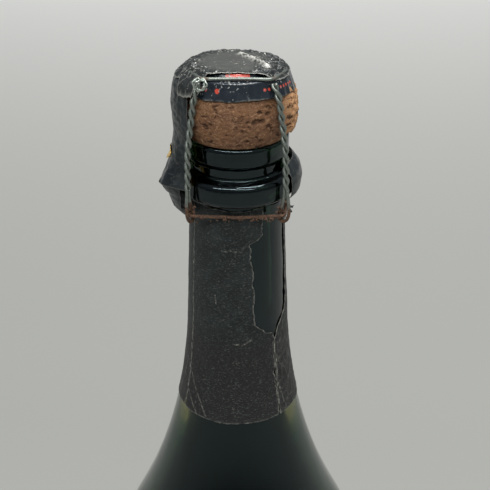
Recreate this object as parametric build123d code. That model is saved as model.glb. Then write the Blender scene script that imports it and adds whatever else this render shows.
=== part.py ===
from build123d import *
from math import acos, asin, atan, cos, hypot, pi, radians, sin
import os

os.makedirs("parts", exist_ok=True)

# A sealed 750 ml champagne bottle with its cork, wire cage and torn foil, in millimetres.
# The origin is on the table at the centre of the base. +Z runs up the axis, -Y is the front.
# Azimuths are in degrees round the axis: 0 at the front, 90 at the right (+X).
# Depths are measured down from the top of the lip, heights above it are measured up.

# Glass body
bottle_height = 300.0
body_r = 44.0
wall = 4.6
heel_r = 9.0
bearing_width = 3.0
shoulder_r = 93.0
flare_r = 187.0
neck_foot_r = 14.5
neck_foot_depth = 57.0
neck_slope_share = 0.038

# Punt, the hollow under the base
punt_height = 30.0
punt_tip_r = 16.0
base_wall = 5.0
inner_heel_r = 4.0

# Finish, the moulded top of the neck
bore_r = 9.0
bore_depth = 26.0
mouth_round = 0.8
lip_r = 14.3
lip_height = 5.0
lip_round = 1.2
groove_r = 13.4
groove_top_depth = 6.4
ring_r = 16.8
ring_top_depth = 9.6
ring_bottom_depth = 16.5
ring_round = 1.8
finish_fillet = 0.7

# Wine
fill_depth = 86.0
wine_gap = 0.1

# Cork
cork_clearance = 0.06
cork_seat_gap = 0.2
shank_depth = 25.0
disc_thickness = 5.5
cork_head_r = 15.9
cork_waist_height = 8.0
cork_foot_r = 14.0
cork_crown_r = 13.2
cork_head_height = 17.8
cork_crown_round = 0.9

# Plaque, the tinplate disc under the crown wire
plaque_gap = 0.3
tinplate = 0.3
plaque_shoulder_r = 14.2
plaque_skirt_r = 15.6
plaque_skirt_drop = 4.4
button_r = 10.6
button_slope = 0.7
button_height = 1.3

# Cage wire
wire_d = 0.95
wire_gap = 0.03
wire_sides = 6
crown_side_depth = 12.1
crown_corner_x = 9.1
crown_side_r = 12.9
crown_side_half = 3.5
crown_corner_round = 2.0
crown_side_round = 3.0

# Twisted legs
leg_count = 4
leg_top_azimuth = 37.5
leg_foot_azimuth = 45.0
leg_top_r = 15.6
leg_top_drop = 1.1
leg_clearance = 0.2
leg_ring_gap = 0.7
leg_twist_depth = 12.0
leg_turns = 5
steps_per_turn = 6
eyelet_depth = 21.8
eyelet_foot_r = 17.5
eyelet_spread = 2.0
eyelet_bulge = 0.4
eyelet_angle = 15.0
eyelet_steps = 10

# Belt wire
belt_depth = 19.8
belt_neck_r = 14.0
belt_corner_round = 1.2

# Key, the twisted ends of the belt
key_pivot_r = 17.6
key_gap = 0.3
root_turns = 0.5
stem_length = 7.0
stem_turns = 1.5
loop_length = 13.5
loop_half_width = 4.4

# Foil
foil = 0.25
foil_gap = 0.05
skirt_top_depth = 17.6
skirt_foot_depth = 86.8
seam_azimuth = 299.0
seam_gap_angle = 0.6
slit_azimuth = 44.0
slit_gap_angle = 0.7
tear_azimuth = 45.0
tear_half_width = 6.6
tear_foot_depth = 57.0

# Foil left over the ring
ring_foil_from = 58.0
ring_foil_to = 122.0
ring_foil_stand = 0.6
ring_foil_top_depth = 3.0
ring_foil_tuck_r = 14.7
ring_foil_tuck_depth = 18.7
lip_foil_stand = 0.25

# Foil hood on the left, and the flap under its flare
hood_from = -57.0
hood_to = -126.0
hood_top_r = 15.2
hood_top_height = 19.2
hood_shoulder_r = 16.9
hood_shoulder_height = 15.2
hood_side_r = 17.6
hood_side_height = 9.0
hood_waist_r = 16.9
hood_waist_height = 0.5
flare_start_r = 18.6
flare_start_depth = 6.5
flare_depth = 12.6
flare_tip_r = 22.0
flap_gap = 0.7
flap_r = 18.4
flap_depth = 17.5
flap_knee_r = 17.8
flap_knee_depth = 20.6
flap_foot_r = 14.3
flap_foot_depth = 23.2

# Foil over the plaque
crown_foil_r = 15.2
crown_foil_gap = 0.1
crown_foil_rise = 0.2

# Shapes given as shares of the sizes above
tear_shares = [
    (-0.47, 0.20), (-0.50, 0.42), (-0.42, 0.46), (-1.09, 0.50), (-0.98, 0.58), (-1.02, 0.66),
    (-0.92, 0.75), (-0.97, 0.88), (-0.92, 0.97), (-0.62, 0.99), (-0.34, 1.03), (-0.22, 0.95),
    (-0.08, 0.93), (0.12, 0.96), (0.34, 0.89), (0.52, 0.90), (0.74, 0.84), (0.96, 0.80),
    (1.02, 0.66), (0.95, 0.52), (1.03, 0.40), (1.00, 0.20),
]
crown_foil_shares = [
    (-0.70, -0.71), (-0.48, -0.68), (-0.40, -0.72), (-0.12, -0.70), (0.20, -0.69),
    (0.45, -0.71), (0.66, -0.66), (0.86, -0.48), (1.10, -0.20), (1.10, 0.70), (0.60, 1.10),
    (-0.60, 1.10), (-1.10, 0.70), (-1.04, -0.05), (-0.80, -0.24), (-0.76, -0.50),
]
leg_lean_shares = [0.35, 0.75]
loop_near_share = 0.6
loop_round_share = 0.8
flare_shares = [0.15, 1.0, 0.5, 0.35, 0.2]
hood_azimuth_shares = [0.0, 0.22, 0.48, 0.76, 1.0]

# Values worked out from the sizes
wire_r = wire_d / 2
neck_angle = atan(neck_slope_share)
neck_foot_z = bottle_height - neck_foot_depth
flare_centre_r = neck_foot_r + flare_r * cos(neck_angle)
flare_centre_z = neck_foot_z + flare_r * sin(neck_angle)
shoulder_centre_r = body_r - shoulder_r
turn_angle = acos((flare_centre_r - shoulder_centre_r) / (flare_r + shoulder_r))
body_top_z = flare_centre_z - (flare_r + shoulder_r) * sin(turn_angle)
plaque_z = bottle_height + cork_head_height + plaque_gap + tinplate
skirt_z = plaque_z - plaque_skirt_drop
crown_wire_z = plaque_z + wire_r + wire_gap
button_z = plaque_z + button_height
belt_z = bottle_height - belt_depth
shank_r = bore_r - cork_clearance
cork_waist_z = bottle_height + cork_waist_height
strand_offset = wire_r + wire_gap / 2
stem_end_y = key_pivot_r + key_gap / 2 + stem_length
skirt_top_z = bottle_height - skirt_top_depth


def around(radius, azimuth, z):
    """The point at a radius, an azimuth and a height."""
    return Vector(radius * sin(radians(azimuth)), -radius * cos(radians(azimuth)), z)


def outward(azimuth):
    return Vector(sin(radians(azimuth)), -cos(radians(azimuth)), 0)


def tangential(azimuth):
    return Vector(cos(radians(azimuth)), sin(radians(azimuth)), 0)


def neck_radius(depth):
    """Outer radius of the straight neck at a depth below the lip."""
    return neck_foot_r - (neck_foot_depth - depth) * neck_slope_share


def flare_point(angle, out):
    """Point on the neck's flare, moved out of the glass by a distance."""
    reach = flare_r - out
    return (flare_centre_r - reach * cos(angle), flare_centre_z - reach * sin(angle))


def shoulder_point(angle, out):
    """Point on the shoulder's arc, moved out of the glass by a distance."""
    reach = shoulder_r + out
    return (shoulder_centre_r + reach * cos(angle), body_top_z + reach * sin(angle))


def turned(edges, start=0.0, sweep_angle=360.0):
    """Solid of a half section turned round the axis from one azimuth through an angle."""
    section = Plane.XZ * make_face(Curve() + edges)
    return revolve(Rot(0, 0, start - 90) * section, Axis.Z, sweep_angle)


def sheet(points, thickness):
    """Closed outline of a bent sheet, its thickness laid to the right of the points."""
    inner = []
    for index, point in enumerate(points):
        before = points[max(index - 1, 0)]
        after = points[min(index + 1, len(points) - 1)]
        normals = []
        for first, last in ((before, point), (point, after)):
            run = hypot(last[0] - first[0], last[1] - first[1])
            if run > 0:
                normals.append(((last[1] - first[1]) / run, -(last[0] - first[0]) / run))
        across = (sum(n[0] for n in normals), sum(n[1] for n in normals))
        reach = len(normals) * thickness / (across[0] ** 2 + across[1] ** 2)
        inner.append((point[0] + across[0] * reach, point[1] + across[1] * reach))
    return Polyline(*points, *reversed(inner), close=True)


def wall_line(out, angle):
    """Arc edges of shoulder and flare, from the body's top up to the neck's foot."""
    turn_mid = turn_angle / 2
    flare_mid = (turn_angle + angle) / 2
    shoulder = ThreePointArc(
        shoulder_point(0, out), shoulder_point(turn_mid, out), shoulder_point(turn_angle, out)
    )
    flare = ThreePointArc(
        flare_point(turn_angle, out), flare_point(flare_mid, out), flare_point(angle, out)
    )
    return [shoulder, flare]


def punt_line(tip_r, foot):
    """The dome of the punt and the straight side down to its foot, from the axis out."""
    centre_z = punt_height - punt_tip_r
    reach = hypot(foot[0], foot[1] - centre_z)
    lean = acos(tip_r / reach) + asin((foot[1] - centre_z) / reach)
    touch = (tip_r * cos(lean), centre_z + tip_r * sin(lean))
    middle = (pi / 2 + lean) / 2
    dome = ThreePointArc(
        (0, centre_z + tip_r), (tip_r * cos(middle), centre_z + tip_r * sin(middle)), touch
    )
    return dome, touch


def finish_line():
    """Outside of the lip, the groove and the ring, from the neck's foot up to the axis."""
    ring_bottom_z = bottle_height - ring_bottom_depth
    ring_top_z = bottle_height - ring_top_depth
    corners = [
        flare_point(neck_angle, 0),
        (neck_radius(ring_bottom_depth), ring_bottom_z),
        (ring_r, ring_bottom_z),
        (ring_r, ring_top_z),
        (groove_r, ring_top_z),
        (groove_r, bottle_height - groove_top_depth),
        (lip_r, bottle_height - lip_height),
        (lip_r, bottle_height),
        (0, bottle_height),
    ]
    rounds = [
        finish_fillet, ring_round, ring_round, finish_fillet,
        finish_fillet, finish_fillet, lip_round,
    ]
    return FilletPolyline(*corners, radius=rounds)


def bottle_outside():
    bearing_r = body_r - heel_r
    punt_foot = (bearing_r - bearing_width, 0)
    dome, touch = punt_line(punt_tip_r, punt_foot)
    heel_centre_r = body_r - heel_r
    heel_middle = (heel_centre_r + heel_r * sin(pi / 4), heel_r - heel_r * cos(pi / 4))
    edges = [
        dome,
        Line(touch, punt_foot),
        Line(punt_foot, (bearing_r, 0)),
        ThreePointArc((bearing_r, 0), heel_middle, (body_r, heel_r)),
        Line((body_r, heel_r), (body_r, body_top_z)),
    ]
    edges += wall_line(0, neck_angle)
    edges += [finish_line(), Line((0, bottle_height), (0, punt_height))]
    return turned(edges)


def cavity(inset):
    """The space inside the glass, drawn in from the wall by an inset."""
    out = -wall - inset
    tip_r = punt_tip_r + base_wall + inset
    side_r = body_r - wall - inset
    round_r = inner_heel_r - inset
    heel_centre = (body_r - wall - inner_heel_r, base_wall + inner_heel_r)
    floor = (heel_centre[0], heel_centre[1] - round_r)
    dome, touch = punt_line(tip_r, floor)
    heel_middle = (
        heel_centre[0] + round_r * sin(pi / 4), heel_centre[1] - round_r * cos(pi / 4)
    )
    foot = flare_point(neck_angle, out)
    edges = [
        dome,
        Line(touch, floor),
        ThreePointArc(floor, heel_middle, (side_r, heel_centre[1])),
        Line((side_r, heel_centre[1]), (side_r, body_top_z)),
    ]
    edges += wall_line(out, neck_angle)
    edges += [
        Line(foot, (bore_r - inset, bottle_height - bore_depth)),
        Line((bore_r - inset, bottle_height - bore_depth), (bore_r - inset, bottle_height)),
        Line((bore_r - inset, bottle_height), (0, bottle_height)),
        Line((0, bottle_height), (0, punt_height + base_wall + inset)),
    ]
    return turned(edges)


def glass_bottle():
    glass = bottle_outside() - cavity(0)
    mouth = glass.edges().filter_by(GeomType.CIRCLE).group_by(Axis.Z)[-1].sort_by(SortBy.RADIUS)[0]
    return fillet(mouth, mouth_round)


def wine_fill():
    level = bottle_height - fill_depth
    below = Cylinder(body_r, level, align=(Align.CENTER, Align.CENTER, Align.MIN))
    return cavity(wine_gap) & below


def cork_body():
    """The agglomerated cork: a bulged head over the lip and the shank down to the discs."""
    seat_z = bottle_height + cork_seat_gap
    waist_z = bottle_height + cork_waist_height
    top_z = bottle_height + cork_head_height
    shank_z = bottle_height - shank_depth + 2 * disc_thickness
    foot_rise = waist_z - seat_z
    foot_bulge = cork_head_r - cork_foot_r
    foot_arc_r = (foot_rise ** 2 + foot_bulge ** 2) / (2 * foot_bulge)
    foot_half = asin(foot_rise / foot_arc_r) / 2
    crown_rise = top_z - waist_z
    crown_bulge = cork_head_r - cork_crown_r
    crown_arc_r = (crown_rise ** 2 + crown_bulge ** 2) / (2 * crown_bulge)
    crown_half = asin(crown_rise / crown_arc_r) / 2
    foot_middle = (
        cork_head_r - foot_arc_r * (1 - cos(foot_half)), waist_z - foot_arc_r * sin(foot_half)
    )
    crown_middle = (
        cork_head_r - crown_arc_r * (1 - cos(crown_half)), waist_z + crown_arc_r * sin(crown_half)
    )
    head = [
        Line((0, shank_z), (shank_r, shank_z)),
        Line((shank_r, shank_z), (shank_r, seat_z)),
        Line((shank_r, seat_z), (cork_foot_r, seat_z)),
        ThreePointArc((cork_foot_r, seat_z), foot_middle, (cork_head_r, waist_z)),
        ThreePointArc((cork_head_r, waist_z), crown_middle, (cork_crown_r, top_z)),
        Line((cork_crown_r, top_z), (0, top_z)),
        Line((0, top_z), (0, shank_z)),
    ]
    cork = turned(head)
    rim = cork.edges().filter_by(GeomType.CIRCLE).group_by(Axis.Z)[-1]
    return fillet(rim, cork_crown_round)


def cork_disc(place):
    """One disc of natural cork at the wine end, counted from the bottom."""
    low_z = bottle_height - shank_depth + place * disc_thickness
    return Pos(0, 0, low_z) * Cylinder(
        shank_r, disc_thickness, align=(Align.CENTER, Align.CENTER, Align.MIN)
    )


def plaque():
    """Pressed tinplate disc: raised button, flat shoulder for the wire, flared skirt."""
    profile = [
        (0, button_z),
        (button_r, button_z),
        (button_r + button_slope, plaque_z),
        (plaque_shoulder_r, plaque_z),
        (plaque_skirt_r, skirt_z),
    ]
    return turned(sheet(profile, tinplate))


def wire_through(points, steady):
    """A wire laid through points as a ruled run of few-sided sections."""
    sections = []
    for index, point in enumerate(points):
        before = points[max(index - 1, 0)]
        after = points[min(index + 1, len(points) - 1)]
        along = (after - before).normalized()
        across = (steady - along * steady.dot(along)).normalized()
        station = Plane(origin=point, x_dir=across, z_dir=along)
        sections.append(station * RegularPolygon(wire_r, wire_sides))
    return loft(sections, ruled=True)


def crown_wire():
    """The wire round the plaque's button, drawn out to a corner over each leg."""
    right = [
        (crown_corner_x, -crown_side_depth),
        (crown_side_r, -crown_side_half),
        (crown_side_r, crown_side_half),
        (crown_corner_x, crown_side_depth),
    ]
    left = [(-x, -y) for x, y in right]
    rounds = [crown_corner_round, crown_side_round, crown_side_round, crown_corner_round] * 2
    route = FilletPolyline(*right, *left, radius=rounds, close=True)
    return swept_wire(Pos(0, 0, crown_wire_z) * route)


def swept_wire(route):
    """Round wire carried along a closed route of lines and arcs."""
    path = route.wires()[0]
    section = Plane(origin=path @ 0, z_dir=path % 0) * Circle(wire_r)
    return sweep(section, path=path)


def leg_line(side, end):
    """Centre line of a leg. side is -1 at the left and 1 at the right, end is -1 at the rear."""
    stations = [
        (leg_top_r, 0.0, crown_wire_z - leg_top_drop),
        (plaque_skirt_r + wire_d + leg_clearance, leg_lean_shares[0], skirt_z),
        (cork_head_r + wire_d + leg_clearance, leg_lean_shares[1], cork_waist_z),
        (ring_r + wire_d + leg_clearance, 1.0, bottle_height),
        (ring_r + wire_d + leg_ring_gap, 1.0, bottle_height - leg_twist_depth),
    ]
    points = []
    for radius, lean_share, z in stations:
        azimuth = leg_top_azimuth + (leg_foot_azimuth - leg_top_azimuth) * lean_share
        if end < 0:
            azimuth = 180 - azimuth
        points.append(around(radius, side * azimuth, z))
    return Spline(*points)


def cage_leg(side, end):
    """One wire: down as a strand of the twist, round the belt as an eyelet, and back up."""
    line = leg_line(side, end)
    steps = leg_turns * steps_per_turn
    down = []
    up = []
    for step in range(steps + 1):
        share = step / steps
        middle = line @ share
        sideways = Vector(-middle.Y, middle.X, 0).normalized()
        facing = (line % share).cross(sideways).normalized()
        turn = radians(90 - eyelet_angle) + 2 * pi * leg_turns * (1 - share)
        spread = sideways * cos(turn) + facing * sin(turn)
        down.append(middle + spread * strand_offset)
        up.insert(0, middle - spread * strand_offset)
    foot_azimuth = side * (leg_foot_azimuth if end > 0 else 180 - leg_foot_azimuth)
    foot = around(eyelet_foot_r, foot_azimuth, bottle_height - eyelet_depth)
    drop = foot - line @ 1
    eyelet = []
    for step in range(1, eyelet_steps):
        turn = 2 * pi * step / eyelet_steps
        share = (1 - cos(turn)) / 2
        middle = line @ 1 + drop * share + outward(foot_azimuth) * eyelet_bulge * sin(pi * share)
        across = strand_offset * cos(turn / 2) + eyelet_spread * sin(turn) * sin(turn / 2) ** 3
        eyelet.append(middle + spread * across)
    return wire_through(down + eyelet + up, drop.cross(spread).normalized())


def belt_ring():
    """The belt under the glass ring, drawn out to each leg's eyelet."""
    top = bottle_height - leg_twist_depth
    eyelet_run = (top - belt_z) / (eyelet_depth - leg_twist_depth)
    leg_foot_r = ring_r + wire_d + leg_ring_gap
    eyelet_r = leg_foot_r + (eyelet_foot_r - leg_foot_r) * eyelet_run
    eyelet_r += eyelet_bulge * sin(pi * eyelet_run)
    corner_half = asin(belt_neck_r / eyelet_r)
    corner_r = eyelet_r + belt_corner_round * (1 / sin(corner_half) - 1)
    side_angle = radians(leg_foot_azimuth) - acos(belt_neck_r / corner_r)
    side_r = belt_neck_r / cos(side_angle)
    points = []
    rounds = []
    for quarter in range(leg_count):
        side = around(side_r, quarter * 360 / leg_count, belt_z)
        corner = around(corner_r, leg_foot_azimuth + quarter * 360 / leg_count, belt_z)
        points += [side, corner]
        rounds += [belt_neck_r, belt_corner_round]
    return swept_wire(FilletPolyline(*points, radius=rounds, close=True))


def twisted_pair(start_y, end_y, turns):
    """Two strands twisted about a level line that runs out to the rear from the belt."""
    strands = []
    steps = round(turns * steps_per_turn)
    for half in (0, pi):
        points = []
        for step in range(steps + 1):
            share = step / steps
            turn = half + 2 * pi * turns * share
            points.append(
                Vector(
                    strand_offset * cos(turn),
                    start_y + (end_y - start_y) * share,
                    belt_z + strand_offset * sin(turn),
                )
            )
        strands.append(wire_through(points, Vector(0, 0, 1)))
    return strands


def belt_wire():
    """The belt and the first half turn of its twisted ends, out past the glass ring."""
    root = twisted_pair(belt_neck_r + wire_r + wire_gap, key_pivot_r - key_gap / 2, root_turns)
    return Compound(children=[belt_ring().solid(), *[strand.solid() for strand in root]])


def key_stem():
    stem = twisted_pair(key_pivot_r + key_gap / 2, stem_end_y, stem_turns)
    return Compound(children=[strand.solid() for strand in stem])


def key_loop():
    """The flat loop that is gripped to untwist the belt."""
    near_y = stem_end_y + key_gap + wire_r
    far_y = near_y + loop_length
    near_x = loop_half_width * loop_near_share
    near_round = near_x * loop_round_share
    far_round = loop_half_width * loop_round_share
    corners = [
        (-near_x, near_y, belt_z),
        (near_x, near_y, belt_z),
        (loop_half_width, far_y, belt_z),
        (-loop_half_width, far_y, belt_z),
    ]
    rounds = [near_round, near_round, far_round, far_round]
    return swept_wire(FilletPolyline(*corners, radius=rounds, close=True))


def skirt_section():
    """Section of the neck foil: straight along the neck, then an arc on the flare."""
    edge_angle = asin(sin(neck_angle) + (skirt_foot_depth - neck_foot_depth) / flare_r)
    middle_angle = (neck_angle + edge_angle) / 2
    faces = []
    for out in (foil_gap, foil_gap + foil):
        top = (neck_radius(skirt_top_depth) + out / cos(neck_angle), skirt_top_z)
        arc = [flare_point(angle, out) for angle in (neck_angle, middle_angle, edge_angle)]
        faces.append((top, arc))
    (inner_top, inner_arc), (outer_top, outer_arc) = faces
    return [
        Line(inner_top, inner_arc[0]),
        ThreePointArc(*inner_arc),
        Line(inner_arc[2], outer_arc[2]),
        ThreePointArc(*outer_arc[::-1]),
        Line(outer_arc[0], outer_top),
        Line(outer_top, inner_top),
    ]


def tear_window():
    """The torn hole at the right of the neck, as a block cut out from the axis."""
    view = Plane(
        origin=(0, 0, 0), x_dir=tangential(tear_azimuth), z_dir=outward(tear_azimuth)
    )
    points = [
        (tear_half_width * across, bottle_height - tear_foot_depth * down)
        for across, down in tear_shares
    ]
    return extrude(view * make_face(Polyline(*points, close=True)), amount=body_r)


def neck_foil(start, end, start_gap, end_gap):
    """A stretch of the neck foil between two azimuths, with the torn hole left out."""
    first = start + start_gap / 2
    last = end - end_gap / 2
    return turned(skirt_section(), first, last - first) - tear_window()


def ring_foil_right():
    """Foil still lying over the lip, the groove and the ring, at the right."""
    lip_out = lip_r + lip_foil_stand + foil
    ring_out = ring_r + ring_foil_stand + foil
    profile = [
        (lip_out, bottle_height - ring_foil_top_depth),
        (lip_out + ring_foil_stand, bottle_height - groove_top_depth),
        (ring_out, bottle_height - ring_top_depth - ring_round),
        (ring_out, bottle_height - ring_bottom_depth + ring_round),
        (ring_r, bottle_height - ring_bottom_depth - ring_foil_stand),
        (ring_foil_tuck_r, bottle_height - ring_foil_tuck_depth),
    ]
    return turned(sheet(profile, foil), ring_foil_from, ring_foil_to - ring_foil_from)


def foil_shell(profile_at):
    """A creased foil shell through upright sections at the hood's azimuths."""
    sections = []
    for turn_share, flare_share in zip(hood_azimuth_shares, flare_shares):
        azimuth = hood_from + (hood_to - hood_from) * turn_share
        outline = sheet(profile_at(flare_share), foil)
        sections.append(Rot(0, 0, azimuth - 90) * (Plane.XZ * make_face(outline)))
    return loft(sections, ruled=True)


def flare_tip(flare_share):
    return flare_start_r + (flare_tip_r - flare_start_r) * flare_share


def hood_profile(flare_share):
    start_r = hood_waist_r + (flare_start_r - hood_waist_r) * flare_share
    return [
        (hood_top_r, bottle_height + hood_top_height),
        (hood_shoulder_r, bottle_height + hood_shoulder_height),
        (hood_side_r, bottle_height + hood_side_height),
        (hood_waist_r, bottle_height + hood_waist_height),
        (start_r, bottle_height - flare_start_depth),
        (flare_tip(flare_share), bottle_height - flare_depth),
    ]


def flap_profile(flare_share):
    return [
        (flare_tip(flare_share), bottle_height - flare_depth - flap_gap),
        (flap_r, bottle_height - flap_depth),
        (flap_knee_r, bottle_height - flap_knee_depth),
        (flap_foot_r, bottle_height - flap_foot_depth),
    ]


def crown_foil():
    """The sheet left on top of the plaque, torn off along its front."""
    flat_z = button_z + crown_foil_gap + foil
    rim_z = crown_wire_z + wire_r + crown_foil_gap + foil
    profile = [
        (0, flat_z + crown_foil_rise),
        (button_r / 2, flat_z + crown_foil_rise),
        (button_r, flat_z),
        (crown_foil_r, rim_z),
    ]
    points = [(crown_foil_r * x, crown_foil_r * y) for x, y in crown_foil_shares]
    outline = Pos(0, 0, plaque_z) * make_face(Polyline(*points, close=True))
    return turned(sheet(profile, foil)) & extrude(outline, amount=cork_head_height)


nodes = {
    "glass_bottle": glass_bottle(),
    "wine_fill": wine_fill(),
    "neck_foil_front": neck_foil(seam_azimuth - 360, slit_azimuth, seam_gap_angle, slit_gap_angle),
    "neck_foil_back": neck_foil(slit_azimuth, seam_azimuth, slit_gap_angle, seam_gap_angle),
    "ring_foil_right": ring_foil_right(),
    "ring_foil_left": foil_shell(flap_profile),
    "cork_body": cork_body(),
    "cork_disc_upper": cork_disc(1),
    "cork_disc_lower": cork_disc(0),
    "plaque": plaque(),
    "crown_wire": crown_wire(),
    "leg_front_left": cage_leg(-1, 1),
    "leg_front_right": cage_leg(1, 1),
    "leg_rear_left": cage_leg(-1, -1),
    "leg_rear_right": cage_leg(1, -1),
    "belt_wire": belt_wire(),
    "crown_foil": crown_foil(),
    "hood_foil": foil_shell(hood_profile),
    "key_stem": key_stem(),
    "key_loop": key_loop(),
}

for name, shape in nodes.items():
    export_step(shape, f"parts/{name}.step")
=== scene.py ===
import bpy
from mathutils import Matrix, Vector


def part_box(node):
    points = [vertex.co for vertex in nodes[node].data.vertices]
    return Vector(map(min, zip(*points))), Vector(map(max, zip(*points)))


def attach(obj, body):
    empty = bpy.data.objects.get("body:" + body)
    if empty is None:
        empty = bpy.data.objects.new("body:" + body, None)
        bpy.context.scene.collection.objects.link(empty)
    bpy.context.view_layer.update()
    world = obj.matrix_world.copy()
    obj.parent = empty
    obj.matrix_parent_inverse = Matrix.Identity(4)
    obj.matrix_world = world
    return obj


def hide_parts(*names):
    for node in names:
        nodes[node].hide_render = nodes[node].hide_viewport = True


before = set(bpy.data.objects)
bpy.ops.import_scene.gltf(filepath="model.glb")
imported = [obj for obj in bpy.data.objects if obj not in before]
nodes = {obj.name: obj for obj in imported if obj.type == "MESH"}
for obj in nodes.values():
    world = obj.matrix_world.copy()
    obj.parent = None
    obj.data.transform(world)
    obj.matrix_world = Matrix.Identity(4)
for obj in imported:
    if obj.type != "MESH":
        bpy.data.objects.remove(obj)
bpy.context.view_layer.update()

import bmesh
import bpy
import numpy as np
from mathutils import Vector


# Glass bottle
# Dark green glass, blown in a two-part mould. The lip, the groove and the ring
# at the mouth are moulded first, and the cork is held down against them.

mm = 0.001
lip_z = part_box("glass_bottle")[1].z
lit_top_depth = 84 * mm
lit_foot_depth = 97 * mm
lit_from_x = 12.5 * mm
lit_full_x = 16 * mm


def material(name, values):
    """New material whose Principled BSDF has these plain values on its own sockets."""
    made = bpy.data.materials.new(name)
    made.use_nodes = True
    shader = made.node_tree.nodes["Principled BSDF"]
    for socket, value in values.items():
        shader.inputs[socket].default_value = value
    return made, made.node_tree, shader


def place(tree, kind, inputs, **settings):
    """One shader node with its settings. Each input takes a plain value or another output."""
    node = tree.nodes.new("ShaderNode" + kind)
    for setting, value in settings.items():
        setattr(node, setting, value)
    for socket, value in inputs.items():
        if isinstance(value, bpy.types.NodeSocket):
            tree.links.new(value, node.inputs[socket])
        else:
            node.inputs[socket].default_value = value
    return node


def where(tree):
    """The place on the piece, in metres."""
    return place(tree, "TexCoord", {}).outputs["Object"]


def stretched(tree, vector, scale):
    """Coordinates multiplied along X, Y and Z, so that a pattern is drawn out."""
    return place(tree, "Mapping", {"Vector": vector, "Scale": scale}).outputs[0]


def noise(tree, vector, size, detail=3.0, roughness=0.55):
    """Random cloud with patches of about a size in metres."""
    inputs = {"Vector": vector, "Scale": 1 / size, "Detail": detail, "Roughness": roughness}
    return place(tree, "TexNoise", inputs).outputs["Fac"]


def between(tree, value, low, high):
    """0 up to a low value, 1 from a high one, and a straight rise between them."""
    inputs = {"Value": value, "From Min": low, "From Max": high}
    return place(tree, "MapRange", inputs).outputs[0]


def mixed(tree, share, first, second):
    """Colour that goes from the first to the second as the share goes from 0 to 1."""
    return place(tree, "Mix", {0: share, 6: first, 7: second}, data_type="RGBA").outputs[2]


def joined(tree, kind, first, second, third=0.0):
    """Two or three values joined by one operation."""
    return place(tree, "Math", {0: first, 1: second, 2: third}, operation=kind).outputs[0]


def bump(tree, shader, height, depth, strength=1.0):
    """Raises the surface's look by a height between 0 and 1 times a depth in metres."""
    inputs = {"Height": height, "Distance": depth, "Strength": strength}
    tree.links.new(place(tree, "Bump", inputs).outputs[0], shader.inputs["Normal"])


def dress(name, finish):
    """A CAD piece keeps its mesh and gets a finish."""
    nodes[name].data.materials.clear()
    nodes[name].data.materials.append(finish)


def green_glass():
    """Dark green glass, faintly uneven where the mould cooled it. Under the foil's edge its
    left and right sides are painted a paler green: a painted glow of light shining through them."""
    made, tree, shader = material(
        "green_glass",
        {"IOR": 1.5, "Transmission Weight": 1.0, "Specular IOR Level": 0.38,
         "Specular Tint": (0.72, 0.93, 1, 1)},
    )
    place_on = where(tree)
    uneven = noise(tree, stretched(tree, place_on, (1, 1, 0.6)), 14 * mm, detail=1.0)
    bump(tree, shader, uneven, 0.25 * mm, 0.5)
    smear = between(tree, noise(tree, place_on, 9 * mm), 0.45, 0.75)
    rough = joined(tree, "MULTIPLY_ADD", smear, 0.08, 0.05)
    tree.links.new(rough, shader.inputs["Roughness"])
    parts = place(tree, "SeparateXYZ", {"Vector": place_on})
    side = place(tree, "Math", {0: parts.outputs["X"]}, operation="ABSOLUTE").outputs[0]
    top_z = lip_z - lit_top_depth
    foot_z = lip_z - lit_foot_depth
    from_foot = between(tree, parts.outputs["Z"], foot_z, foot_z + 5 * mm)
    to_top = between(tree, parts.outputs["Z"], top_z + 2 * mm, top_z)
    lit_depth = joined(tree, "MULTIPLY", from_foot, to_top)
    # Painted light: between these depths the sides are painted paler, as if light shone through the glass.
    lit = joined(tree, "MULTIPLY", lit_depth, between(tree, side, lit_from_x, lit_full_x))
    green = mixed(tree, lit, (0.012, 0.034, 0.016, 1), (0.2, 0.2, 0.07, 1))
    tree.links.new(green, shader.inputs["Base Color"])
    return made


dress("glass_bottle", green_glass())


# Wine
# Pale golden sparkling wine, filled to about the foot of the neck foil. The gas
# over it keeps the cork under pressure.


def wine():
    """Clear liquid whose pale gold varies a little in wide clouds."""
    made, tree, shader = material(
        "wine",
        {"Roughness": 0.0, "IOR": 1.34, "Transmission Weight": 1.0, "Specular IOR Level": 0.1},
    )
    cloud = noise(tree, where(tree), 30 * mm)
    shade = mixed(tree, cloud, (0.62, 0.5, 0.16, 1), (0.7, 0.58, 0.22, 1))
    tree.links.new(shade, shader.inputs["Base Color"])
    return made


dress("wine_fill", wine())


# Cork
# Ground cork grains pressed and glued into a stopper, with two discs of whole
# cork at the wine end. The head swelled over the lip when the cork was driven in.

cork_top_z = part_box("cork_body")[1].z
cork_low_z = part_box("cork_body")[0].z
cork_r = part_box("cork_body")[1].x
cork_shank_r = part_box("cork_disc_upper")[1].x
cork_seat_gap = 0.2 * mm
cork_waist_height = 8.0 * mm
cork_foot_r = 14.0 * mm
cork_crown_r = 13.2 * mm
cork_crown_round = 0.9 * mm
cork_spacing = 0.24 * mm
cork_columns = 420
pit_count = 110
cap_sag = 1.8 * mm
sag_from = 11 * mm
sag_length = 25 * mm
sag_right_share = 0.4
sag_rise = 6 * mm
broken_azimuth = 92
broken_half_deg = 34
broken_fade_deg = 7


def polar(radius, azimuth, z):
    """Points at a radius, an azimuth in degrees from the front towards +X, and a height."""
    turn = np.radians(azimuth)
    x, y, z = np.broadcast_arrays(radius * np.sin(turn), -radius * np.cos(turn), z)
    return np.stack([x, y, z], axis=-1)


def waves(x, y, lengths, seed):
    """Smooth random field near -1 to 1: plane waves of random heading, the long ones higher."""
    random = np.random.default_rng(seed)
    total = 0.0
    for length in lengths:
        for heading, phase in random.uniform(0, 2 * np.pi, (4, 2)):
            run = x * np.cos(heading) + y * np.sin(heading)
            total = total + length / lengths[0] * np.sin(run * 2 * np.pi / length + phase)
    return total / 3


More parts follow.
